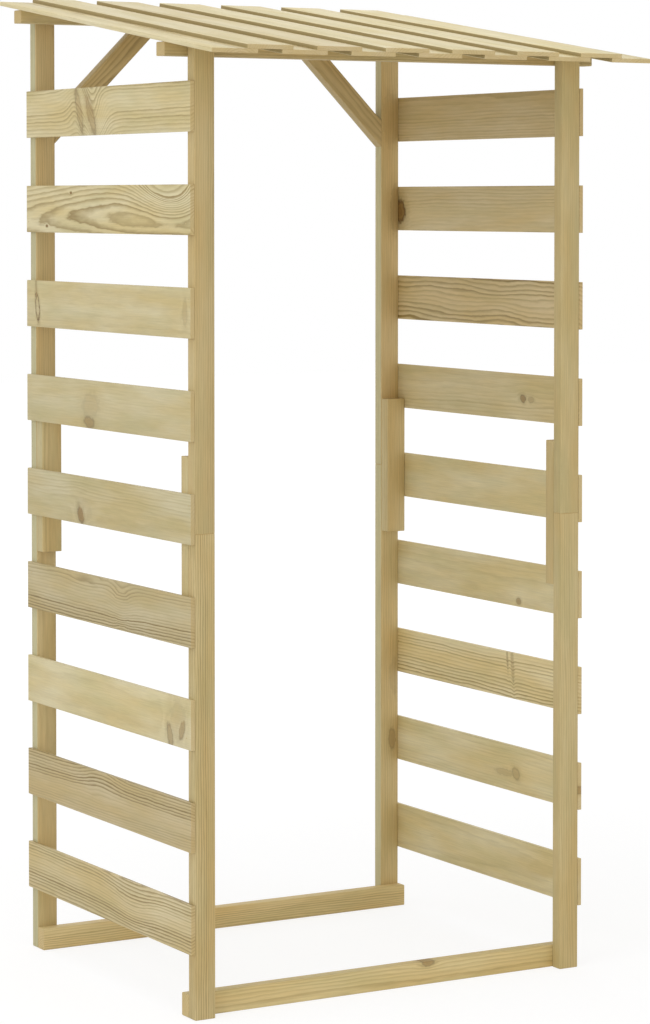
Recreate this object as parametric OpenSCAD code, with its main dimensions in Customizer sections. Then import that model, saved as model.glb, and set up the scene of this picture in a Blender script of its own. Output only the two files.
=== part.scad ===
// Free-standing slatted log store with a pent roof, all in planed softwood battens and thin boards.
// X runs across the width, Y from the open front (-) to the open rear (+), Z up from the ground.
// The origin is the middle of the whole store's footprint, on the ground.
// The roof boards run from rear to front and fall towards the front.

/* [Frame] */
// Width over the outer faces of the posts
frame_w = 888; // [740:2:1100]
// Depth over the outer faces of the posts
frame_d = 738; // [450:2:1200]
// Height of the front posts, from the ground to the underside of the roof
front_h = 1874; // [1400:2:2300]
// Fall of the roof towards the front, in degrees
roof_fall = 8.1; // [4:0.1:14]

/* [Battens] */
// Width of a post, rail or brace batten, seen from the front
batten_w = 44; // [34:1:70]
// Thickness of a post, rail or brace batten, from front to back
batten_t = 28; // [20:1:45]
// Height of a ground rail
rail_h = 45; // [30:1:80]
// Height of a top beam
beam_h = 27; // [20:1:60]
// Depth of a top beam from front to back
beam_d = 34; // [24:1:60]
// Length of a top beam past each post's outer face
beam_overhang = 49; // [0:1:55]
// Length of the block behind each post joint
splice_l = 295; // [120:5:500]

/* [Side slats] */
// Number of slats on each side, spread evenly up the posts
slat_count = 9; // [5:1:10]
// Height of one slat
slat_h = 97; // [60:1:120]
// Thickness of one slat
slat_t = 8.5; // [6:0.5:25]
// Height from the ground to the lowest slat
slat_z = 127; // [40:1:200]
// Distance from the top slat up to the top of the front posts
slat_top_gap = 70; // [20:1:200]

/* [Rear braces] */
// Width of a brace in its own plane
brace_w = 41; // [30:1:60]
// Distance from a rear post's top down to where a brace's lower edge meets it
brace_drop = 280; // [200:1:300]
// Angle of a brace from level
brace_angle = 45; // [35:1:55]

/* [Roof] */
// Number of lower roof boards; one cover board fewer lies over their gaps
lower_count = 7; // [7:1:9]
// Width of one roof board
roof_board_w = 98; // [80:1:120]
// Thickness of one roof board
roof_board_t = 8.5; // [6:0.5:25]
// Roof past the outer faces of the posts, on each side
side_overhang = 55; // [55:1:80]
// Roof past the front faces of the front posts, measured level
front_overhang = 174; // [40:1:300]
// Roof past the rear faces of the rear posts, measured level
rear_overhang = 31; // [10:1:200]

/* [Fit] */
// Gap left between a post's top and the sloping boards, measured upright
roof_clear = 0.3; // [0:0.1:2]

/* [Hidden] */
slope = tan(roof_fall);
half_w = frame_w / 2;
half_d = frame_d / 2;

// Heights of the roof boards' underside at the posts and beams, in the frame's own Y
post_front_z = front_h + roof_clear;
function underside_z(y) = post_front_z + (y + half_d) * slope;

// Top beams lie on the inner faces of the posts, and each one's front top edge meets the boards
front_beam_y = -half_d + batten_t;
rear_beam_y = half_d - batten_t - beam_d;
function beam_top_z(y) = underside_z(y);

// Rear posts end level, just under the boards over their inner faces
rear_h = underside_z(half_d - batten_t) - roof_clear;

// Roof boards: their length along the slope, between two level overhangs
roof_front_y = -half_d - front_overhang;
roof_rear_y = half_d + rear_overhang;
roof_board_l = (roof_rear_y - roof_front_y) / cos(roof_fall);
cover_count = lower_count - 1;

// Lower boards share the roof's width evenly, and each cover board lies midway between two of them
roof_pitch = (frame_w + 2 * side_overhang - roof_board_w) / (lower_count - 1);

slat_pitch = (front_h - slat_top_gap - slat_z - slat_h) / (slat_count - 1);

// The middle of the whole footprint, from the top front corner of a cover board
// to the bottom rear corner of a lower board, is moved to y = 0
front_tip_y = roof_front_y - 2 * roof_board_t * sin(roof_fall);
frame_y = -(front_tip_y + roof_rear_y) / 2;

timber = "#C2AE7A";
roof_timber = "#DCCDA0";
shade_timber = "#A98F5C";

front_posts = ["front_left_post", "front_right_post"];
rear_posts = ["rear_left_post", "rear_right_post"];

// Moves the frame so that the whole footprint is centred
module in_place() {
    translate([0, frame_y, 0]) children();
}

// A level batten or slat from its lowest corner, with its size
module timber_box(corner, size) {
    translate(corner) cube(size);
}

// Left (-1) or right (1) x of a post's lowest corner
function post_x(side) = side < 0 ? -half_w : half_w - batten_w;

// Half of a post: the lower length stands on the ground, the upper length on the lower one
module post_length(side, y, post_h, upper) {
    length = post_h / 2;
    color(timber) in_place()
        timber_box([post_x(side), y, upper ? length : 0], [batten_w, batten_t, length]);
}

module front_post_length(side, upper) {
    post_length(side, -half_d, front_h, upper);
}

module rear_post_length(side, upper) {
    post_length(side, half_d - batten_t, rear_h, upper);
}

// Short battens on the inner faces of the posts, each across a post's joint
module splice_blocks() {
    color(shade_timber) in_place()
        for (side = [-1, 1]) {
            timber_box([post_x(side), -half_d + batten_t, (front_h - splice_l) / 2],
                [batten_w, batten_t, splice_l]);
            timber_box([post_x(side), half_d - 2 * batten_t, (rear_h - splice_l) / 2],
                [batten_w, batten_t, splice_l]);
        }
}

// Rails on the ground, on the inner faces of the posts, flush with the posts' outer faces
module front_ground_rail() {
    color(timber) in_place()
        timber_box([-half_w, -half_d + batten_t, 0], [frame_w, batten_t, rail_h]);
}

module rear_ground_rail() {
    color(timber) in_place()
        timber_box([-half_w, half_d - 2 * batten_t, 0], [frame_w, batten_t, rail_h]);
}

// Level beams under the boards, which run out past the posts
module top_beam(y) {
    color(shade_timber) in_place()
        timber_box([-half_w - beam_overhang, y, beam_top_z(y) - beam_h],
            [frame_w + 2 * beam_overhang, beam_d, beam_h]);
}

module front_top_beam() {
    top_beam(front_beam_y);
}

module rear_top_beam() {
    top_beam(rear_beam_y);
}

// Outline of the right-hand brace in the plane of the rear posts, as [x, z] points:
// cut upright against the post and level under the roof
function brace_outline() =
    let (
        post_face = half_w - batten_w,
        low_z = rear_h - brace_drop,
        rise = brace_w / cos(brace_angle),
        run_low = brace_drop / tan(brace_angle),
        run_high = (brace_drop - rise) / tan(brace_angle)
    ) [
        [post_face, low_z],
        [post_face, low_z + rise],
        [post_face - run_high, rear_h],
        [post_face - run_low, rear_h]
    ];

// Sloping struts that stiffen the rear frame, behind the rear beam and between the rear posts
module rear_braces() {
    color(shade_timber) in_place()
        for (side = [0, 1])
            mirror([side, 0, 0])
                translate([0, half_d, 0]) rotate([90, 0, 0])
                    linear_extrude(height = batten_t) polygon(brace_outline());
}

// Slat i counts up from the ground, on the outer faces of the posts
module side_slat(side, i) {
    color(timber) in_place()
        timber_box([side < 0 ? -half_w - slat_t : half_w, -half_d, slat_z + (i - 1) * slat_pitch],
            [slat_t, frame_d, slat_h]);
}

// One roof board, centred on x, on the slope; layer 0 lies on the beams and layer 1 on layer 0
module sloping_board(x, layer) {
    color(roof_timber) in_place()
        translate([x - roof_board_w / 2, roof_rear_y, underside_z(roof_rear_y)])
            rotate([roof_fall, 0, 0])
                translate([0, -roof_board_l, layer * roof_board_t])
                    cube([roof_board_w, roof_board_l, roof_board_t]);
}

module roof_board(i) {
    sloping_board((i - (lower_count + 1) / 2) * roof_pitch, 0);
}

module roof_cover_board(i) {
    sloping_board((i - (cover_count + 1) / 2) * roof_pitch, 1);
}

for (s = [0, 1], u = [0, 1]) {
    part = u == 0 ? "lower" : "upper";
    front_post_length(2 * s - 1, u == 1);
    rear_post_length(2 * s - 1, u == 1);
}
splice_blocks();
front_ground_rail();
rear_ground_rail();
front_top_beam();
rear_top_beam();
rear_braces();
for (i = [1:slat_count]) {
    side_slat(-1, i);
    side_slat(1, i);
}
for (i = [1:lower_count])
    roof_board(i);
for (i = [1:cover_count])
    roof_cover_board(i);
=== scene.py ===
import math
import random

import bmesh
import bpy
import numpy as np
from mathutils import Matrix, Vector


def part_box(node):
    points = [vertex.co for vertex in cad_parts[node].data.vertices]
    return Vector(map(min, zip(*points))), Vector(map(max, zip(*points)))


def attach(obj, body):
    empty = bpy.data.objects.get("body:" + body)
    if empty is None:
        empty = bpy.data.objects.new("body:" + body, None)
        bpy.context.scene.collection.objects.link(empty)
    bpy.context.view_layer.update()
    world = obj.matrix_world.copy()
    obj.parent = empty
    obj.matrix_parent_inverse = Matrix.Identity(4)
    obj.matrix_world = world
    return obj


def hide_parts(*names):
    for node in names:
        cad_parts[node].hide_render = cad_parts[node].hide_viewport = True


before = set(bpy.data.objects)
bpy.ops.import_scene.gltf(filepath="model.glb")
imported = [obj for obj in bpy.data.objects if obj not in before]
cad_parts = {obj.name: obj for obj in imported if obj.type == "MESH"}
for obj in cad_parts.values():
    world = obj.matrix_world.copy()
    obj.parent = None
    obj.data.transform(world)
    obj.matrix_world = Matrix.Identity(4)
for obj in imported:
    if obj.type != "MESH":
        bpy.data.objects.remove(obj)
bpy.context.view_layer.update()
bpy.ops.object.select_all(action="DESELECT")
mm = 0.001
draw = random.Random(17)
print("frame loaded:", len(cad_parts), "timbers")


def srgb(code):  # "#C8B88E" to linear light
    parts = [int(code[i:i + 2], 16) / 255 for i in (1, 3, 5)]
    return tuple(p / 12.92 if p < 0.04045 else ((p + 0.055) / 1.055) ** 2.4 for p in parts) + (1.0,)


# feeds: input name or number -> a value, an output, or a node whose first output is used
# stops: places and colours along a Color Ramp
def addNode(tree, kind, feeds=None, stops=None, **settings):
    node = tree.nodes.new(kind)
    for name, value in settings.items():
        setattr(node, name, value)
    for key, feed in (feeds or {}).items():
        if isinstance(feed, bpy.types.Node):
            feed = feed.outputs[0]
        if isinstance(feed, bpy.types.NodeSocket):
            tree.links.new(feed, node.inputs[key])
        else:
            node.inputs[key].default_value = feed
    if stops:
        ramp = node.color_ramp
        while len(ramp.elements) < len(stops):
            ramp.elements.new(0.5)
        for element, (place, colour) in zip(ramp.elements, stops):
            element.position = place
            element.color = colour if isinstance(colour, tuple) else (colour, colour, colour, 1)
    return node


# An emptied node tree for a material or a world
def freshTree(owner):
    owner.use_nodes = True
    owner.node_tree.nodes.clear()
    return owner.node_tree


# Treated pine: planed softwood, pressure-impregnated. Pale cream early wood, browner late wood lines
# that follow the growth rings of the log each board was sawn from, a green or yellow cast in patches,
# red-brown knots that push the lines aside, and a dry satin surface.
# Each piece carries its own place in the log as attributes (see markGrain).
def treatedPine(name, look):
    material = bpy.data.materials.new(name)
    tree = freshTree(material)
    calc, vector, noise = "ShaderNodeMath", "ShaderNodeVectorMath", "ShaderNodeTexNoise"
    ramp, spread = "ShaderNodeValToRGB", "ShaderNodeMapRange"
    source = {key: addNode(tree, "ShaderNodeAttribute", attribute_name=key).outputs["Vector"]
              for key in ("logPlace", "boardPlace", "boardTone", "boardFigure", "knotDepth",
                          "knotSkew", "knotHollow", "knotA", "knotB", "knotC")}
    endGrainAndPaintedEdges = addNode(tree, "ShaderNodeAttribute", attribute_name="endGrainAndPaintedEdges").outputs["Fac"]
    log, tone, figure, depth, skew, hollow = (
        addNode(tree, "ShaderNodeSeparateXYZ", {0: source[key]}) for key in
        ("logPlace", "boardTone", "boardFigure", "knotDepth", "knotSkew", "knotHollow"))

    # noises drawn out along the log or the board, as (name, place, detail, roughness); their values
    # lie mostly between 0.3 and 0.7, which is where the ranges below start from
    cloud = {}
    for key, place, detail, roughness in (
            ("wander", "logPlace", 1.0, 0.5), ("wobble", "logPlace", 2.0, 0.5),
            ("patch", "boardPlace", 3.0, 0.5), ("salt", "boardPlace", 2.0, 0.5),
            ("fibre", "boardPlace", 3.0, 0.6)):
        drawnOut = addNode(tree, vector, {0: source[place], 1: look[key + "Scale"]}, operation="MULTIPLY")
        cloud[key] = addNode(tree, noise, {"Vector": drawnOut, "Scale": 1.0, "Detail": detail,
                                           "Roughness": roughness})

    # knots: the lines flow round each one and bulge over it, and its outline is ragged
    ragged = addNode(tree, noise, {"Vector": source["boardPlace"], "Scale": look["raggedScale"],
                                   "Detail": 2.0})
    ragged = addNode(tree, calc, {0: ragged, 1: look["ragged"], 2: -0.5 * look["ragged"]},
                     operation="MULTIPLY_ADD")
    aside, bulge, knotCover = 0.0, 0.0, 0.0
    nearest = 9.0  # far outside any knot, whose edge is at 1
    for key, axis in (("knotA", "X"), ("knotB", "Y"), ("knotC", "Z")):
        spot = addNode(tree, "ShaderNodeSeparateXYZ", {0: source[key]})
        flat = addNode(tree, vector, {0: source[key], 1: (1, 1, 0)}, operation="MULTIPLY")
        reach = addNode(tree, vector, {0: flat}, operation="LENGTH").outputs["Value"]
        square = addNode(tree, calc, {0: reach, 1: reach}, operation="MULTIPLY")
        outside = addNode(tree, calc, {0: square, 1: 1.0}, operation="MAXIMUM")
        push = addNode(tree, calc, {0: spot.outputs["Y"], 1: spot.outputs["Z"]}, operation="MULTIPLY")
        push = addNode(tree, calc, {0: push, 1: outside}, operation="DIVIDE")
        aside = addNode(tree, calc, {0: aside, 1: push}, operation="ADD")
        fade = addNode(tree, calc, {0: square, 1: -look["knotFade"]}, operation="MULTIPLY")
        fade = addNode(tree, calc, {0: fade}, operation="EXPONENT")
        rise = addNode(tree, calc, {0: fade, 1: spot.outputs["Z"]}, operation="MULTIPLY")
        bulge = addNode(tree, calc, {0: bulge, 1: rise}, operation="ADD")
        sweep = addNode(tree, calc, {0: fade, 1: spot.outputs["X"]}, operation="MULTIPLY")
        bulge = addNode(tree, calc, {0: sweep, 1: skew.outputs[axis], 2: bulge},
                        operation="MULTIPLY_ADD")
        rough = addNode(tree, calc, {0: reach, 1: ragged}, operation="ADD")
        nearest = addNode(tree, calc, {0: rough, 1: nearest}, operation="MINIMUM")
        half = addNode(tree, calc, {0: rough, 1: 0.5}, operation="MULTIPLY")
        full = addNode(tree, ramp, {"Fac": half}, stops=[(0.0, 1.0), (0.42, 1.0), (0.58, 0.35), (1.0, 0.0)])
        rim = addNode(tree, ramp, {"Fac": half},
                      stops=[(0.0, 0.12), (0.3, 0.15), (0.43, 1.0), (0.55, 0.3), (0.8, 0.0)])
        cover = addNode(tree, "ShaderNodeMix", {0: hollow.outputs[axis], 2: full, 3: rim})
        cover = addNode(tree, calc, {0: cover, 1: depth.outputs[axis]}, operation="MULTIPLY")
        knotCover = addNode(tree, calc, {0: cover, 1: knotCover}, operation="MAXIMUM")

    # growth rings: distance from the pith counted in rings, with a slow wander and a finer wobble
    slow = addNode(tree, calc, {0: cloud["wander"], 1: 0.5}, operation="SUBTRACT")
    slow = addNode(tree, calc, {0: slow, 1: figure.outputs["X"]}, operation="MULTIPLY")
    quick = addNode(tree, calc, {0: cloud["wobble"], 1: look["wobble"], 2: -0.5 * look["wobble"]},
                    operation="MULTIPLY_ADD")
    across = addNode(tree, calc, {0: log.outputs["Y"], 1: aside}, operation="SUBTRACT")
    radius = addNode(tree, "ShaderNodeCombineXYZ", {"X": across, "Y": log.outputs["Z"]})
    radius = addNode(tree, vector, {0: radius}, operation="LENGTH").outputs["Value"]
    for extra in (bulge, slow, quick):
        radius = addNode(tree, calc, {0: radius, 1: extra}, operation="ADD")
    phase = addNode(tree, calc, {0: radius}, operation="FRACT")
    lateWood = addNode(tree, ramp, {"Fac": phase}, stops=[
        (0.0, 0.25), (0.12, 0.0), (0.42, 0.08), (0.78, 0.8), (0.9, 1.0), (1.0, 0.25)])

    # rings differ in strength: each by itself, 0.5 to 1.1, in zones, and towards one edge of the board
    ringNumber = addNode(tree, calc, {0: radius}, operation="FLOOR")
    ringStrength = addNode(tree, "ShaderNodeTexWhiteNoise", {"W": ringNumber}, noise_dimensions="1D")
    ringStrength = addNode(tree, calc, {0: ringStrength, 1: 0.6, 2: 0.5}, operation="MULTIPLY_ADD")
    zone = addNode(tree, calc, {0: radius, 1: look["zoneScale"]}, operation="MULTIPLY")
    zone = addNode(tree, calc, {0: zone, 1: figure.outputs["Z"]}, operation="ADD")
    zone = addNode(tree, noise, {"W": zone, "Scale": 1.0, "Detail": 0.0}, noise_dimensions="1D")
    zone = addNode(tree, spread, {"Value": zone, "From Min": 0.32, "From Max": 0.68,
                                  "To Min": look["zoneWeak"], "To Max": look["zoneStrong"]})
    grade = addNode(tree, spread, {"Value": figure.outputs["Y"], "From Min": -1.0,
                                   "To Min": 0.05, "To Max": 1.95})
    lines = lateWood
    for strength in (ringStrength, zone, grade):
        lines = addNode(tree, calc, {0: lines, 1: strength}, operation="MULTIPLY")
    lines = addNode(tree, calc, {0: lines, 1: tone.outputs["Z"]}, operation="MULTIPLY", use_clamp=True)

    # two creams in long patches, then green and warm casts, then painted light: a pale cast on narrow sides
    # marked below 0, then the late wood lines
    patch = addNode(tree, spread, {"Value": cloud["patch"], "From Min": 0.36, "From Max": 0.64})
    salt = addNode(tree, spread, {"Value": cloud["salt"], "From Min": 0.45, "From Max": 0.72,
                                  "To Max": look["saltShare"]})
    paintedSideShare = addNode(tree, calc, {0: endGrainAndPaintedEdges, 1: -1.0}, operation="MULTIPLY", use_clamp=True)
    wood = srgb(look["creamYellow"])
    for share, colour in ((patch, "creamPale"), (salt, "saltGreen"), (tone.outputs["Y"], "heartWarm"),
                          (paintedSideShare, "paintedSideLight"), (lines, "lateWood")):
        wood = addNode(tree, "ShaderNodeMix", {0: share, 6: wood, 7: srgb(look[colour])},
                       data_type="RGBA").outputs[2]

    # fibres run along the board; real ones are 0.03 mm wide, drawn about 2 mm wide so that they show
    shade = addNode(tree, spread, {"Value": cloud["fibre"], "From Min": 0.3, "From Max": 0.7,
                                   "To Min": 1 - look["fibreShade"], "To Max": 1 + look["fibreShade"]})
    shade = addNode(tree, calc, {0: shade, 1: tone.outputs["X"]}, operation="MULTIPLY")
    wood = addNode(tree, vector, {0: wood, "Scale": shade}, operation="SCALE")

    # the knots' own rings, dark at the bark edge; a cover above 1 burns a knot darker
    heart = addNode(tree, calc, {0: nearest, 1: 0.5}, operation="MULTIPLY")
    heart = addNode(tree, ramp, {"Fac": heart}, stops=[(place, srgb(look[colour])) for place, colour in (
        (0.0, "knotHeart"), (0.16, "knotRing"), (0.28, "knotHeart"), (0.46, "knotRim"),
        (0.6, "lateWood"), (1.0, "lateWood"))])
    wood = addNode(tree, "ShaderNodeMix", {0: knotCover, 6: wood, 7: heart},
                   data_type="RGBA").outputs[2]
    burnt = addNode(tree, calc, {0: knotCover, 1: 1.0}, operation="SUBTRACT", use_clamp=True)
    burnt = addNode(tree, calc, {0: burnt, 1: -0.9, 2: 1.0}, operation="MULTIPLY_ADD")
    wood = addNode(tree, vector, {0: wood, "Scale": burnt}, operation="SCALE")

    # end grain at the cut ends; then painted shade on narrow edges marked above 1: they take the end colour
    # and then a dark brown, drawn for the shadow along the roof boards' sides
    endShare = addNode(tree, calc, {0: endGrainAndPaintedEdges, 1: look["endShare"]}, operation="MULTIPLY",
                       use_clamp=True)
    sawn = addNode(tree, calc, {0: endGrainAndPaintedEdges, 1: 1.0}, operation="SUBTRACT", use_clamp=True)
    for share, colour in ((endShare, "endWood"), (sawn, "paintedEdgeShade")):
        wood = addNode(tree, "ShaderNodeMix", {0: share, 6: wood, 7: srgb(look[colour])},
                       data_type="RGBA").outputs[2]

    # late wood stands a little higher and shines a little more than the early wood
    gloss = addNode(tree, spread, {"Value": lines, "To Min": look["roughness"],
                                   "To Max": look["roughness"] - look["lineShine"]})
    height = addNode(tree, calc, {0: lines, 1: 0.6, 2: cloud["fibre"]}, operation="MULTIPLY_ADD")
    bump = addNode(tree, "ShaderNodeBump", {"Height": height, "Strength": look["bumpStrength"],
                                            "Distance": look["bumpHeight"]})
    shader = addNode(tree, "ShaderNodeBsdfPrincipled", {
        "Base Color": wood, "Roughness": gloss, "IOR": 1.5, "Metallic": 0.0, "Normal": bump})
    addNode(tree, "ShaderNodeOutputMaterial", {"Surface": shader})
    return material


pineLook = {
    "creamYellow": "#CFBC86", "creamPale": "#D8CCA4", "saltGreen": "#BDB380", "heartWarm": "#CDA772",
    "lateWood": "#917B46", "knotHeart": "#93733A", "knotRing": "#80602C", "knotRim": "#5F4620",
    # paintedEdgeShade is painted shade for dark narrow edges; paintedSideLight is painted light for pale
    # narrow sides
    "endWood": "#C3A973", "paintedEdgeShade": "#7C7046", "paintedSideLight": "#C5BF96",
    "endShare": 0.55, "saltShare": 0.5, "fibreShade": 0.07,
    "roughness": 0.62, "lineShine": 0.08, "bumpStrength": 0.35, "bumpHeight": 0.25 * mm,
    "wanderScale": (5.0, 0.16, 0.16),  # per metre along, per ring across
    "wobbleScale": (26.0, 0.8, 0.8), "wobble": 0.5,
    "zoneScale": 0.17,  # bands of stronger and weaker rings, about six rings wide
    "zoneWeak": 0.28, "zoneStrong": 1.15,
    "patchScale": (3.5, 16.0, 16.0), "saltScale": (5.0, 24.0, 24.0),  # patches 60 by 290 and 40 by 200 mm
    "fibreScale": (16.0, 420.0, 420.0),
    "raggedScale": 110.0, "ragged": 0.8,  # lumps of about 9 mm on a knot's outline
    "knotFade": 0.45,  # how soon the lines settle outside a knot
}
slatTimber = treatedPine("slatTreatedPine", pineLook)
frameTimber = treatedPine("battenTreatedPine", {
    **pineLook, "creamYellow": "#C8B077", "creamPale": "#CDBC8B", "heartWarm": "#C69A60",
    "lateWood": "#8F7843", "saltGreen": "#B3A976"})
roofTimber = treatedPine("roofTreatedPine", {
    **pineLook, "creamYellow": "#D6C694", "creamPale": "#E0D5B0", "saltGreen": "#C8BE90"})


# Yellow-zinc-plated steel: a soft golden metal, a little brushed by handling
def platedSteel(name, look):
    material = bpy.data.materials.new(name)
    tree = freshTree(material)
    place = addNode(tree, "ShaderNodeTexCoord").outputs["Object"]
    cloud = addNode(tree, "ShaderNodeTexNoise", {"Vector": place, "Scale": look["cloudScale"],
                                                "Detail": 2.0})
    colour = addNode(tree, "ShaderNodeMix", {0: cloud, 6: srgb(look["gold"]), 7: srgb(look["pale"])},
                     data_type="RGBA").outputs[2]
    gloss = addNode(tree, "ShaderNodeMapRange", {"Value": cloud, "To Min": look["smooth"],
                                                "To Max": look["dull"]})
    shader = addNode(tree, "ShaderNodeBsdfPrincipled", {"Base Color": colour, "Metallic": 1.0,
                                                        "Roughness": gloss})
    addNode(tree, "ShaderNodeOutputMaterial", {"Surface": shader})
    return material


zincSteel = platedSteel("yellowZincSteel", {
    "gold": "#BFA468", "pale": "#CDBE94", "smooth": 0.32, "dull": 0.5,
    "cloudScale": 260.0})  # plating clouds about 4 mm across
print("materials ready")


hair = 0.01 * mm  # closer than this counts as level
endFacing, edgeFacing = 0.5, 0.98  # how squarely an end or an edge faces its own way
timberSmooth, headSmooth = math.radians(40), math.radians(35)  # flatter edges shade smooth


# edit mode: selects the edges or faces that pass a test, and nothing else
def pick(kind, test):
    bpy.ops.mesh.select_mode(type=kind)
    bpy.ops.mesh.select_all(action="DESELECT")
    form = bmesh.from_edit_mesh(bpy.context.object.data)
    for part in (form.edges if kind == "EDGE" else form.faces):
        if test(part):
            part.select_set(True)
    bmesh.update_edit_mesh(bpy.context.object.data)


def isLongEdge(edge):
    a, b = edge.verts[0].co, edge.verts[1].co
    return abs(a.y - b.y) + abs(a.z - b.z) < hair


# A planed timber lying along X about the origin, with Y across its wide face and Z through it.
# cuts: planes (point, direction) that trim its ends, keeping the side behind the direction
def planedTimber(size, look, cuts=()):
    bpy.ops.mesh.primitive_cube_add(size=1, location=(0, 0, 0), scale=size)
    blank = bpy.context.object
    bpy.ops.object.transform_apply(location=False, rotation=False, scale=True)
    bpy.ops.object.mode_set(mode="EDIT")
    for point, direction in cuts:
        bpy.ops.mesh.select_all(action="SELECT")
        bpy.ops.mesh.bisect(plane_co=point, plane_no=direction, use_fill=True, clear_outer=True)
    for i in range(1, look["stations"]):
        bpy.ops.mesh.select_all(action="SELECT")
        bpy.ops.mesh.bisect(plane_co=((i / look["stations"] - 0.5) * size[0], 0, 0), plane_no=(1, 0, 0))
    pick("EDGE", isLongEdge)
    bpy.ops.mesh.bevel(offset=look["arris"], segments=look["arrisSteps"], affect="EDGES")
    pick("FACE", lambda face: abs(face.normal.x) > endFacing)
    bpy.ops.mesh.bevel(offset=look["endChamfer"], segments=1, affect="EDGES")
    bpy.ops.object.mode_set(mode="OBJECT")
    bpy.ops.object.shade_smooth_by_angle(angle=timberSmooth)
    blank.select_set(False)
    return blank


def writeAttribute(mesh, name, rows):
    layer = mesh.attributes.new(name, "FLOAT_VECTOR", "POINT")
    layer.data.foreach_set("vector", np.asarray(rows, dtype=np.float32).ravel())


# how far a seed moves a timber's patterns: along in m, across as a share of that, and in rings
seedStep = {"along": 7.13, "across": 0.37, "rings": 3.7}
farAway = 900.0  # in knot sizes: where an unused knot lies
grainRange = {
    "pithAcross": (-60, 60), "pithThrough": (25, 90), "lean": (-12, 12), "ring": (4.2, 5.6),
    "wander": (1.0, 2.0), "lightness": (0.95, 1.03), "warmth": (0.0, 0.15), "lines": (0.3, 0.5),
    "seed": (1, 9),
}


# pith: how far the log's middle lies from the timber's own, across and through, in mm
# lean: how that changes along the timber, across and through, in mm per m
# ring: ring width in mm, wide as in fast-grown pine. wander: slow drift of the lines, in rings
# tone: lightness, warm share, strength of the lines
# grade: how much stronger the lines are at the edge on the timber's +Y side than in the middle
# sawn (painted light on the narrow edges): above 1, how dark their painted shade is; below 0, how pale
# their painted highlight is
# knots: (along, across, half length, half width, tilt, push, darkness), lengths in mm, and if wanted
# also (sweep of the lines past it, in rings, and 1 for an open pocket with only a dark rim)
def markGrain(piece, grain):
    mesh = piece.data
    co = np.empty(len(mesh.vertices) * 3)
    mesh.vertices.foreach_get("co", co)
    u, v, w = co.reshape(-1, 3).T
    same = np.ones(len(u))
    ring = grain["ring"] * mm
    shift = grain["seed"] * seedStep["along"]
    pithV, pithW = (p * mm for p in grain["pith"])
    leanV, leanW = (p * mm for p in grain["lean"])
    writeAttribute(mesh, "logPlace", np.stack(
        [u + shift, (v - pithV - leanV * u) / ring, (w - pithW - leanW * u) / ring], 1))
    writeAttribute(mesh, "boardPlace", np.stack([u + shift, v + seedStep["across"] * shift, w], 1))
    writeAttribute(mesh, "boardTone", np.outer(same, grain["tone"]))
    writeAttribute(mesh, "boardFigure", np.stack([
        same * grain["wander"], grain["grade"] * v / v.max(), same * grain["seed"] * seedStep["rings"]], 1))
    marks = {"knotDepth": [], "knotSkew": [], "knotHollow": []}
    for letter, spot in zip("ABC", grain["knots"] + [None] * 3):
        rows = np.outer(same, (farAway, farAway, 0.0))
        values = (0.0, 0.0, 0.0)
        if spot:
            along, across, halfU, halfV, tilt, push, *values = (tuple(spot) + (0, 0))[:9]
            rows = np.stack([(u - along * mm - tilt * (v - across * mm)) / (halfU * mm),
                             (v - across * mm) / (halfV * mm), same * push * halfV * mm / ring], 1)
        writeAttribute(mesh, "knot" + letter, rows)
        for row, value in zip(marks.values(), values):
            row.append(value)
    for name, row in marks.items():
        writeAttribute(mesh, name, np.outer(same, row))
    # ends get 1; narrow edges get the painted edge value: painted shade above 1, painted light below 0
    ends = mesh.attributes.new("endGrainAndPaintedEdges", "FLOAT", "FACE")
    ends.data.foreach_set("value", [
        1.0 if abs(p.normal.x) > endFacing else grain["sawn"] * (abs(p.normal.y) > edgeFacing)
        for p in mesh.polygons])


def someGrain(**given):
    def some(key):
        return draw.uniform(*grainRange[key])
    grain = {
        "pith": (some("pithAcross"), draw.choice((-1, 1)) * some("pithThrough")),
        "lean": (some("lean"), some("lean")),
        "ring": some("ring"), "wander": some("wander"), "grade": 0.0, "sawn": 0.0,
        "tone": (some("lightness"), some("warmth"), some("lines")),
        "knots": [], "seed": round(some("seed"), 3)}
    return {**grain, **given}


# along and across are the timber's own X and Y, as directions on the object
def layTimber(blank, name, node, material, middle, along, across, grain):
    piece = blank.copy()
    piece.data = blank.data.copy()
    piece.name = piece.data.name = name
    bpy.context.collection.objects.link(piece)
    markGrain(piece, grain)
    along, across = Vector(along).normalized(), Vector(across).normalized()
    turn = Matrix((along, across, along.cross(across))).transposed().to_4x4()
    piece.matrix_world = Matrix.Translation(middle) @ turn
    bpy.ops.object.select_all(action="DESELECT")
    piece.select_set(True)
    bpy.context.view_layer.objects.active = piece
    bpy.ops.object.transform_apply(location=True, rotation=True, scale=True)
    piece.data.materials.clear()
    piece.data.materials.append(material)
    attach(piece, "root")
    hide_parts(node)
    piece.select_set(False)


def boxOf(node):  # lowest corner, highest corner, middle, size
    low, high = (Vector(c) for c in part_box(node))
    return low, high, (low + high) / 2, high - low


def pieceName(node):  # "rear_top_beam" to "rearTopBeam"
    first, *others = node.split("_")
    return first + "".join(word.title() for word in others)


def scrap(blank):
    bpy.data.objects.remove(blank)


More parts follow.
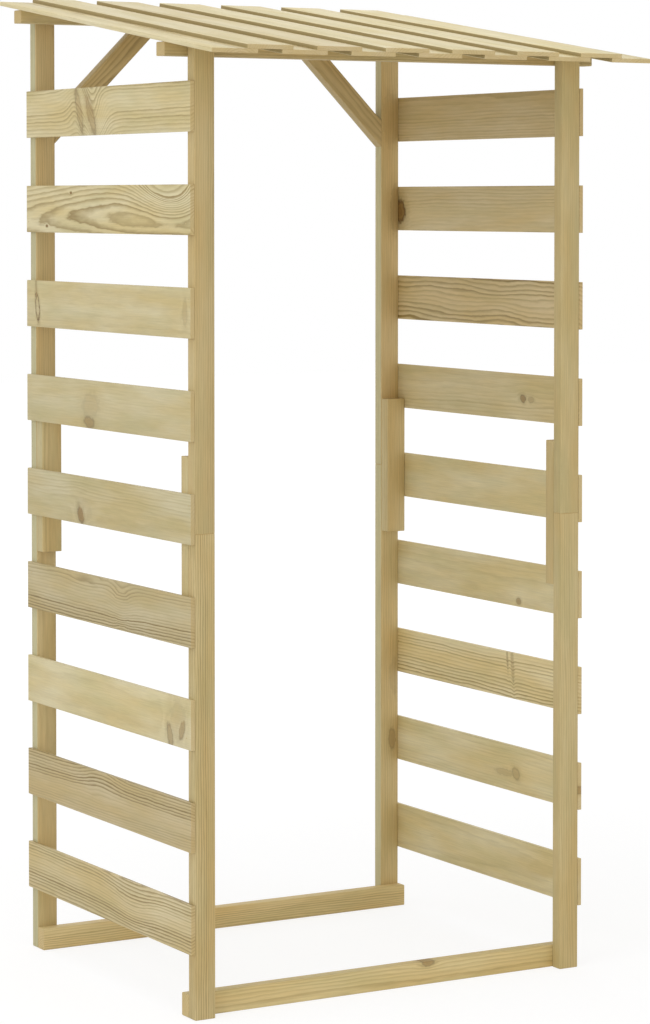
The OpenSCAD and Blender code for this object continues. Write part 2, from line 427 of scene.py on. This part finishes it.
# posts: two lengths each, butted at mid-height
postLook = {"arris": 2.2 * mm, "arrisSteps": 3, "endChamfer": 0.8 * mm, "stations": 4}
postGrain = {
    "front_left_post_lower": dict(pith=(-46, -30), ring=4.6, tone=(1.01, 0.05, 0.7)),
    "front_left_post_upper": dict(pith=(-60, 12), ring=4.6, tone=(0.94, 0.12, 0.45)),
    # the rear posts' negative edge value is painted light: their narrow sides are drawn pale
    "rear_left_post_lower": dict(pith=(8, -70), ring=5.2, tone=(0.97, 0.1, 0.35), sawn=-0.95),
    "rear_left_post_upper": dict(pith=(-70, -40), ring=5.0, tone=(0.93, 0.25, 0.35), sawn=-0.95),
    # the rear right posts' faint broad knots (darkness 0.2 and 0.3) are painted shade where the slats and
    # the brace meet the post; the one at -121 is a real knot
    "rear_right_post_lower": dict(pith=(-50, -50), ring=4.8, tone=(1.12, 0.15, 0.3), sawn=-0.8,
                                  knots=[(-121, 6, 26, 9, 0, 0.4, 0.5), (20, 12, 40, 12, 0, 0.2, 0.2)]),
    "rear_right_post_upper": dict(pith=(70, -50), ring=4.8, tone=(1.08, 0.3, 0.3), sawn=-0.8,
                                  knots=[(274, 2, 60, 22, 0, 0.2, 0.2), (76, 14, 55, 12, 0, 0.2, 0.3)]),
    "front_right_post_lower": dict(pith=(60, -60), ring=4.6, tone=(0.99, 0.0, 0.3)),
    "front_right_post_upper": dict(pith=(-65, -40), ring=4.6, tone=(0.96, 0.0, 0.3)),
}
for corner in ("front_left", "front_right", "rear_left", "rear_right"):
    for part in ("lower", "upper"):
        node = f"{corner}_post_{part}"
        middle, size = boxOf(node)[2:]
        blank = planedTimber((size.z, size.x, size.y), postLook)
        layTimber(blank, pieceName(node), node, frameTimber, middle,
                  (0, 0, 1), (1, 0, 0), someGrain(**postGrain[node]))
        scrap(blank)
print("posts done")

# splice blocks: one behind each post joint
spliceLook = {"arris": 2.0 * mm, "arrisSteps": 3, "endChamfer": 0.6 * mm, "stations": 2}
spliceGrain = {
    # a negative edge value is painted light: these blocks' narrow sides are drawn paler
    "rearLeft": dict(sawn=-0.4),
    "frontLeft": dict(tone=(0.96, 0.0, 0.5)),
    "rearRight": dict(pith=(60, -60), tone=(1.04, 0.1, 0.35), sawn=-0.2),
}
spliceBox = boxOf("splice_blocks")
spliceLength = 2 * (boxOf("front_left_post_lower")[1].z - spliceBox[0].z)
for end, side in (("front", "left"), ("front", "right"), ("rear", "left"), ("rear", "right")):
    high, middle, size = boxOf(f"{end}_{side}_post_lower")[1:]
    y = spliceBox[0].y + size.y / 2 if end == "front" else spliceBox[1].y - size.y / 2
    blank = planedTimber((spliceLength, size.x, size.y), spliceLook)
    layTimber(blank, f"{end}{side.title()}SpliceBlock", "splice_blocks", frameTimber,
              (middle.x, y, high.z), (0, 0, 1), (1, 0, 0),
              someGrain(**spliceGrain.get(end + side.title(), {})))
    scrap(blank)
print("splice blocks done")

# ground rails and top beams, all lying along X
railLook = {"arris": 2.2 * mm, "arrisSteps": 3, "endChamfer": 0.6 * mm, "stations": 6}
railGrain = {
    "front_ground_rail": dict(pith=(-30, 55), ring=5.2, tone=(1.2, 0.0, 0.7),
                              knots=[(100, 21, 15, 7, 0.4, 0.7, 0.65)]),
    "rear_ground_rail": dict(pith=(-48, 20), ring=5.0, tone=(1.21, 0.1, 0.8),
                             knots=[(-150, -4, 8, 6, 0, 0.8, 0.8)]),
    "front_top_beam": dict(pith=(30, 50), tone=(0.93, 0.15, 0.6)),
    "rear_top_beam": dict(tone=(0.97, 0.1, 0.6)),
}
for node in railGrain:
    middle, size = boxOf(node)[2:]
    blank = planedTimber((size.x, size.z, size.y), railLook)
    layTimber(blank, pieceName(node), node, frameTimber, middle,
              (1, 0, 0), (0, 0, 1), someGrain(**railGrain[node]))
    scrap(blank)
print("rails and beams done")

# rear braces: cut upright against the post and level under the roof
braceLook = {"width": 41 * mm, "angle": math.radians(45), "arris": 2.0 * mm, "arrisSteps": 3,
             "endChamfer": 0.5 * mm, "stations": 3}
braceGrain = dict(tone=(0.92, 0.25, 0.6))
braceBox = low, high, middle, size = boxOf("rear_braces")
braceRun = size.z / math.sin(braceLook["angle"])
for side, name in ((-1, "leftBrace"), (1, "rightBrace")):
    along = Vector((-side * math.cos(braceLook["angle"]), 0, math.sin(braceLook["angle"])))
    across = Vector((side * math.sin(braceLook["angle"]), 0, math.cos(braceLook["angle"])))
    foot = Vector((side * high.x, middle.y, low.z))
    centre = foot + along * braceRun / 2 + across * braceLook["width"] / 2
    cuts = []
    for point, direction in ((foot, Vector((side, 0, 0))), (foot + along * braceRun, Vector((0, 0, 1)))):
        rest = point - centre
        cuts.append(((rest.dot(along), rest.dot(across), 0),
                     (direction.dot(along), direction.dot(across), 0)))
    blank = planedTimber((braceRun + 2 * braceLook["width"], braceLook["width"], size.y), braceLook, cuts)
    layTimber(blank, name, "rear_braces", frameTimber, centre, along, across,
              someGrain(**braceGrain))
    scrap(blank)
print("braces done")

# side slats: thin boards on the posts' outer faces, numbered from the ground
slatLook = {"arris": 0.9 * mm, "arrisSteps": 2, "endChamfer": 0.4 * mm, "stations": 6}
slatGrain = {
    "left_slat_9": dict(pith=(-120, 50), lean=(0, 0), ring=6.5, wander=1.2, tone=(1.015, 0.0, 0.85),
                        seed=2.31, grade=0.35,
                        knots=[(80, 0, 38, 50, 0.45, 0.35, 0.0, -7, 0),
                               (116, 2, 12, 46, 0.34, 0.2, 0.55, 0, 0.35),
                               (62, -9, 15, 40, 0.5, 0.2, 0.65, 0, 0.3)]),
    "left_slat_8": dict(pith=(-7, 37.7), lean=(-40, 42), ring=7.0, wander=0.8, tone=(1.03, 0.0, 1.0),
                        seed=5.17,
                        knots=[(-255, 82, 105, 62, 0.5, 0.85, 0.0, -1.2),
                               (155, 33, 5, 2.8, 0, 1, 1.0), (270, -35, 5, 2.8, 0, 1, 1.0)]),
    "left_slat_7": dict(pith=(20, 140), lean=(4, 0), ring=5.0, wander=1.2, tone=(0.93, 0.0, 0.22),
                        seed=1.63,
                        knots=[(317, -7, 10, 30, 0.15, 0.25, 1.0, 0, 1), (323, 30, 4, 20, 0.1, 0.2, 0.5),
                               (-345, 0, 10, 26, 0, 0.2, 0.25)]),
    "left_slat_6": dict(pith=(90, 60), lean=(-10, 0), ring=5.2, wander=1.8, tone=(0.88, 0.0, 0.13),
                        seed=7.9,
                        knots=[(72, -36, 24, 12, 0.3, 0.6, 0.6), (66, -2, 40, 26, 0, 0.2, 0.2)]),
    "left_slat_5": dict(pith=(-40, 60), lean=(10, 0), ring=4.8, wander=2.0, tone=(0.86, 0.0, 0.3),
                        seed=4.4, grade=0.3,
                        knots=[(114, -30, 14, 17, 0.35, 0.8, 0.8), (96, -20, 34, 22, 0, 0.2, 0.12)]),
    "left_slat_4": dict(pith=(100, 20), lean=(0, 0), ring=6.0, wander=0.8, tone=(0.83, 0.13, 1.0),
                        seed=3.21, grade=-0.6,
                        knots=[(90, 92, 115, 62, 0, 0.45, 0.0), (-72, -6, 34, 36, 0, -0.3, 0.0)]),
    "left_slat_3": dict(pith=(0, 160), lean=(0, 0), ring=5.4, wander=1.0, tone=(1.01, 0.0, 0.14),
                        seed=6.6,
                        knots=[(-281, -30, 12, 26, 0.25, 0.3, 0.65, 0, 0.2),
                               (-331, -14, 11, 19, -0.35, 0.3, 0.65, 0, 0.1),
                               (-316, 2, 34, 40, 0, 0.3, 0.2)]),
    "left_slat_2": dict(pith=(85, 30), lean=(-16, 0), ring=5.2, wander=1.0, tone=(0.86, 0.23, 1.15),
                        seed=8.2, grade=0.8, knots=[(25, 20, 60, 30, 0, 0.3, 0.0)]),
    "left_slat_1": dict(pith=(-90, 30), lean=(8, 0), ring=5.8, wander=1.1, tone=(0.975, 0.14, 1.7),
                        seed=6.35, grade=-0.45, knots=[(-120, 40, 70, 40, 0, 0.25, 0.0)]),
    "right_slat_9": dict(pith=(60, -60), ring=5.4, wander=1.3, tone=(0.93, 0.28, 0.5), seed=2.2),
    "right_slat_8": dict(pith=(-60, -30), ring=7.0, wander=2.0, tone=(1.0, 0.2, 0.5), seed=4.1,
                         grade=0.4, knots=[(336, -6, 24, 27, 0, 0.5, 1.0)]),
    "right_slat_7": dict(pith=(-80, -30), lean=(22, 0), ring=9.5, wander=2.8, tone=(1.03, 0.3, 1.5),
                         seed=7.3, grade=-0.1),
    "right_slat_6": dict(pith=(60, -90), lean=(-14, 0), ring=6.0, tone=(1.0, 0.1, 0.5), seed=3.7,
                         knots=[(-162, -3, 11, 8, 0.2, 1, 0.75), (-191, -4, 12, 6, 0, 1, 0.4)]),
    "right_slat_5": dict(pith=(30, -140), tone=(1.06, 0.0, 0.2), seed=5.9),
    "right_slat_4": dict(pith=(-30, -140), tone=(1.08, 0.0, 0.22), seed=1.9,
                         knots=[(-147, -37, 10, 7, 0, 0.8, 0.6)]),
    "right_slat_3": dict(pith=(-110, -20), ring=7.2, tone=(1.23, 0.05, 1.0), seed=6.1,
                         knots=[(-104, 34, 3, 22, 0.1, 0.1, 0.45), (-124, 22, 5, 38, 0.1, 0.1, 0.35)]),
    "right_slat_2": dict(pith=(80, -60), ring=6.0, tone=(1.11, 0.0, 0.25), seed=2.6,
                         knots=[(-139, -9, 15, 13, 0.3, 0.6, 0.5, 0, 0.3),
                                (-95, -12, 38, 7, -0.4, 0.2, 0.3), (-366, -8, 8, 9, 0, 0.4, 1.1)]),
    "right_slat_1": dict(pith=(0, -150), tone=(1.08, 0.0, 0.25), seed=8.8),
}
slatCount = len(slatGrain) // 2
size = boxOf("left_slat_1")[3]
blank = planedTimber((size.y, size.z, size.x), slatLook)
for side in ("left", "right"):
    for i in range(1, slatCount + 1):
        node = f"{side}_slat_{i}"
        layTimber(blank, pieceName(node), node, slatTimber, boxOf(node)[2],
                  (0, 1, 0), (0, 0, 1), someGrain(**slatGrain[node]))
scrap(blank)
print("slats done")

# roof: lower boards, then cover boards over their gaps, all falling to the front
# the roof boards' narrow sides carry painted shade (1.6), drawn dark for the shadow along them;
# roof_board_1 has none
roofLook = {"thick": 8.5 * mm, "fall": math.radians(8.1), "arris": 0.9 * mm, "arrisSteps": 2,
            "endChamfer": 0.5 * mm, "stations": 6, "sawn": 1.6}
roofRows = (("roof_board", "roofBoard", 7), ("roof_cover_board", "coverBoard", 6))
roofGrain = {
    "roof_board_1": dict(tone=(1.0, 0.05, 0.5), sawn=0.0), "roof_board_4": dict(tone=(1.06, 0.05, 0.7)),
    "roof_board_6": dict(tone=(1.07, 0.0, 0.4)), "roof_board_7": dict(tone=(1.11, 0.0, 0.45)),
    "roof_cover_board_3": dict(tone=(1.05, 0.0, 0.5)), "roof_cover_board_4": dict(tone=(1.06, 0.0, 0.4)),
    "roof_cover_board_5": dict(tone=(1.1, 0.0, 0.4)), "roof_cover_board_6": dict(tone=(1.11, 0.0, 0.4)),
}
size = boxOf("roof_board_1")[3]
boardLength = (size.y - roofLook["thick"] * math.sin(roofLook["fall"])) / math.cos(roofLook["fall"])
blank = planedTimber((boardLength, size.x, roofLook["thick"]), roofLook)
upSlope = (0, math.cos(roofLook["fall"]), math.sin(roofLook["fall"]))
for kind, title, count in roofRows:
    for i in range(1, count + 1):
        node = f"{kind}_{i}"
        layTimber(blank, f"{title}{i}", node, roofTimber, boxOf(node)[2],
                  upSlope, (-1, 0, 0), someGrain(**{"sawn": roofLook["sawn"], **roofGrain.get(node, {})}))
scrap(blank)
print("roof done")


# A round head about the origin, facing up Z: a pin's is slightly domed, a screw's has a sunk recess
def roundHead(look):
    bpy.ops.mesh.primitive_cylinder_add(vertices=look["sides"], radius=look["radius"],
                                        depth=look["depth"],
                                        location=(0, 0, look["proud"] - look["depth"] / 2))
    blank = bpy.context.object
    bpy.ops.object.transform_apply(location=True, rotation=False, scale=False)
    bpy.ops.object.mode_set(mode="EDIT")
    pick("FACE", lambda face: face.normal.z > edgeFacing)
    bpy.ops.mesh.bevel(offset=look["rim"], segments=1, affect="EDGES")
    pick("FACE", lambda face: face.normal.z > edgeFacing)
    bpy.ops.mesh.inset(thickness=look["radius"] * look["inset"])
    if "recess" in look:
        bpy.ops.mesh.extrude_region_move(TRANSFORM_OT_translate={"value": (0, 0, -look["recess"])})
        bpy.ops.transform.resize(value=(look["taper"], look["taper"], 1.0))
    else:
        bpy.ops.transform.translate(value=(0, 0, look["dome"]))
    bpy.ops.object.mode_set(mode="OBJECT")
    bpy.ops.object.shade_smooth_by_angle(angle=headSmooth)
    blank.select_set(False)
    return blank


def driveHeads(blank, name, spots):  # spots: (point, outward direction)
    copies = []
    for point, outward in spots:
        head = blank.copy()
        head.data = blank.data.copy()
        bpy.context.collection.objects.link(head)
        spin = Matrix.Rotation(draw.uniform(0, math.pi), 4, "Z")
        face = Vector(outward).to_track_quat("Z", "Y").to_matrix().to_4x4()
        head.matrix_world = Matrix.Translation(point) @ face @ spin
        copies.append(head)
    bpy.ops.object.select_all(action="DESELECT")
    for head in copies:
        head.select_set(True)
    bpy.context.view_layer.objects.active = copies[0]
    bpy.ops.object.join()
    bpy.ops.object.transform_apply(location=True, rotation=True, scale=True)
    piece = bpy.context.object
    piece.name = piece.data.name = name
    piece.data.materials.clear()
    piece.data.materials.append(zincSteel)
    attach(piece, "root")
    piece.select_set(False)


# fasteners: pins through the slats, screws down through the roof boards and from behind into the frame
pinLook = {"sides": 10, "radius": 1.6 * mm, "depth": 1.2 * mm, "proud": 0.12 * mm, "rim": 0.25 * mm,
           "inset": 0.4, "dome": 0.1 * mm, "edge": 22 * mm, "stagger": 5 * mm}
screwLook = {"sides": 14, "radius": 3.6 * mm, "depth": 2.4 * mm, "proud": 0.15 * mm, "rim": 0.4 * mm,
             "inset": 0.42, "recess": 1.3 * mm, "taper": 0.7, "reach": 110 * mm, "step": 48 * mm,
             "coverIn": 36 * mm, "braceUp": 45 * mm}
pin, screw = roundHead(pinLook), roundHead(screwLook)
frontPost, rearPost = boxOf("front_right_post_lower"), boxOf("rear_right_post_lower")
spots = []
for side, sign in (("left", -1), ("right", 1)):
    for i in range(1, slatCount + 1):
        low, high = boxOf(f"{side}_slat_{i}")[:2]
        x = high.x if sign > 0 else low.x
        for post in (frontPost, rearPost):
            for z, y in ((low.z + pinLook["edge"], pinLook["stagger"]),
                         (high.z - pinLook["edge"], -pinLook["stagger"])):
                spots.append(((x, post[2].y + y, z), (sign, 0, 0)))
driveHeads(pin, "slatPins", spots)

spots = []
slopeUp = Vector(upSlope)
roofUp = Vector((0, -slopeUp.z, slopeUp.y))
for kind, title, count in roofRows:
    for i in range(1, count + 1):
        middle = boxOf(f"{kind}_{i}")[2]
        for beam in ("front_top_beam", "rear_top_beam"):
            along = (boxOf(beam)[2].y - middle.y) / slopeUp.y
            point = middle + slopeUp * along + roofUp * roofLook["thick"] / 2
            for x in ((0,) if title == "roofBoard" else (-screwLook["coverIn"], screwLook["coverIn"])):
                spots.append((point + Vector((x, 0, 0)), roofUp))
driveHeads(screw, "roofScrews", spots)

spots = []
back = (0, 1, 0)
frontBeam, rearBeam = boxOf("front_top_beam"), boxOf("rear_top_beam")
rail = boxOf("front_ground_rail")
halfBrace = braceLook["width"] / 2
blockBack = frontPost[1].y + frontPost[3].y
for sign in (-1, 1):
    postX = sign * frontPost[2].x
    for post, y in ((frontPost, blockBack), (rearPost, rearPost[1].y)):
        joint = post[1].z
        for z in (joint - screwLook["reach"], joint - screwLook["step"],
                  joint + screwLook["step"], joint + screwLook["reach"]):
            spots.append(((postX, y, z), back))
        spots.append(((postX, y, rail[2].z), back))
    spots.append(((postX, frontBeam[1].y, frontBeam[2].z), back))
    spots.append(((postX, rearPost[1].y, rearBeam[2].z), back))
    for z in (braceBox[0].z + screwLook["braceUp"], rearBeam[2].z):
        climb = z - braceBox[0].z - halfBrace * math.cos(braceLook["angle"])
        out = braceBox[1].x + halfBrace * math.sin(braceLook["angle"]) - climb
        spots.append(((sign * out, braceBox[1].y, z), back))
driveHeads(screw, "frameScrews", spots)
scrap(pin)
scrap(screw)
print("fasteners done")


# 1 for what the camera sees straight, in a gloss or through glass, and 0 for the light's other bounces
def seenShare(tree):
    path = addNode(tree, "ShaderNodeLightPath")
    seen = path.outputs["Is Camera Ray"]
    for ray in ("Is Glossy Ray", "Is Transmission Ray"):
        seen = addNode(tree, "ShaderNodeMath", {0: seen, 1: path.outputs[ray]}, operation="MAXIMUM")
    return seen


# floor, world and lamps
white = (1, 1, 1, 1)
floorLook = {"size": 40.0, "drop": 0.5 * mm, "pale": "#F2F1EE", "seen": "#8C8C8C",
             "glowNear": 0.785, "glowFar": 0.88, "nearEdge": 1.2, "farEdge": 7.0}
bpy.ops.mesh.primitive_plane_add(size=floorLook["size"], location=(0, 0, -floorLook["drop"]))
floor = bpy.context.object
floor.name = "studioFloor"
floorPaint = bpy.data.materials.new("paleStudioPaper")  # matt paper: bright, keeps a soft shadow
tree = freshTree(floorPaint)
seen = seenShare(tree)
paper = addNode(tree, "ShaderNodeBsdfDiffuse", {"Color": srgb(floorLook["pale"])})
shadowKeeper = addNode(tree, "ShaderNodeBsdfDiffuse", {"Color": srgb(floorLook["seen"])})
away = addNode(tree, "ShaderNodeVectorMath", {0: addNode(tree, "ShaderNodeTexCoord").outputs["Object"]},
               operation="LENGTH").outputs["Value"]
away = addNode(tree, "ShaderNodeMapRange", {
    "Value": away, "From Min": floorLook["nearEdge"], "From Max": floorLook["farEdge"],
    "To Min": floorLook["glowNear"], "To Max": floorLook["glowFar"]})  # the lamps fade, the paper doesn't
glow = addNode(tree, "ShaderNodeEmission", {"Color": white, "Strength": away})
lit = addNode(tree, "ShaderNodeAddShader", {0: shadowKeeper, 1: glow})
mixed = addNode(tree, "ShaderNodeMixShader", {0: seen, 1: paper, 2: lit})
addNode(tree, "ShaderNodeOutputMaterial", {"Surface": mixed})
floor.data.materials.append(floorPaint)
floor.select_set(False)

worldLook = {"ambient": 0.6, "backdrop": 1.0}  # a backdrop of 1 is plain white
world = bpy.data.worlds.new("studioWhite")
bpy.context.scene.world = world
tree = freshTree(world)
seen = seenShare(tree)
air = addNode(tree, "ShaderNodeBackground", {"Color": white, "Strength": worldLook["ambient"]})
backdrop = addNode(tree, "ShaderNodeBackground", {"Color": white, "Strength": worldLook["backdrop"]})
addNode(tree, "ShaderNodeOutputWorld", {"Surface": addNode(
    tree, "ShaderNodeMixShader", {0: seen, 1: air, 2: backdrop})})

lampLooks = {
    "sideLamp": dict(at=(-5.5, -2.0, 2.6), aim=(0, 0, 0.9), size=4.0, watts=92, colour="#F8FAFF"),
    "topLamp": dict(at=(-1.0, -0.5, 6.0), aim=(0, 0, 1.0), size=5.0, watts=84, colour="#FFFFFF"),
    "backLamp": dict(at=(2.5, 6.5, 3.0), aim=(0, 0, 0.9), size=3.5, watts=34, colour="#FFFFFF"),
    "frontLamp": dict(at=(1.0, -7.0, 1.6), aim=(0, 0, 0.7), size=3.5, watts=52, colour="#FFEBCB"),
}
for name, look in lampLooks.items():
    aim = Vector(look["aim"]) - Vector(look["at"])
    bpy.ops.object.light_add(type="AREA", location=look["at"],
                             rotation=aim.to_track_quat("-Z", "Y").to_euler())
    lamp = bpy.context.object
    lamp.name = name
    lamp.data.shape = "SQUARE"
    lamp.data.size = look["size"]
    lamp.data.energy = look["watts"]
    lamp.data.color = srgb(look["colour"])[:3]
    lamp.select_set(False)
print("lights done")

cameraLook = {"at": (-3.3401, -5.7954, 1.5739), "tilt": 88.0, "turn": -30.069, "lens": 114.576,
              "sensor": 36, "shiftY": -0.1922, "farthest": 100}
bpy.ops.object.camera_add(location=cameraLook["at"], rotation=(
    math.radians(cameraLook["tilt"]), 0, math.radians(cameraLook["turn"])))
camera = bpy.context.object
camera.name = "mainCamera"
camera.data.lens = cameraLook["lens"]
camera.data.sensor_width = cameraLook["sensor"]
camera.data.shift_y = cameraLook["shiftY"]
camera.data.clip_end = cameraLook["farthest"]
bpy.context.scene.camera = camera
bpy.context.scene.view_settings.view_transform = "Standard"
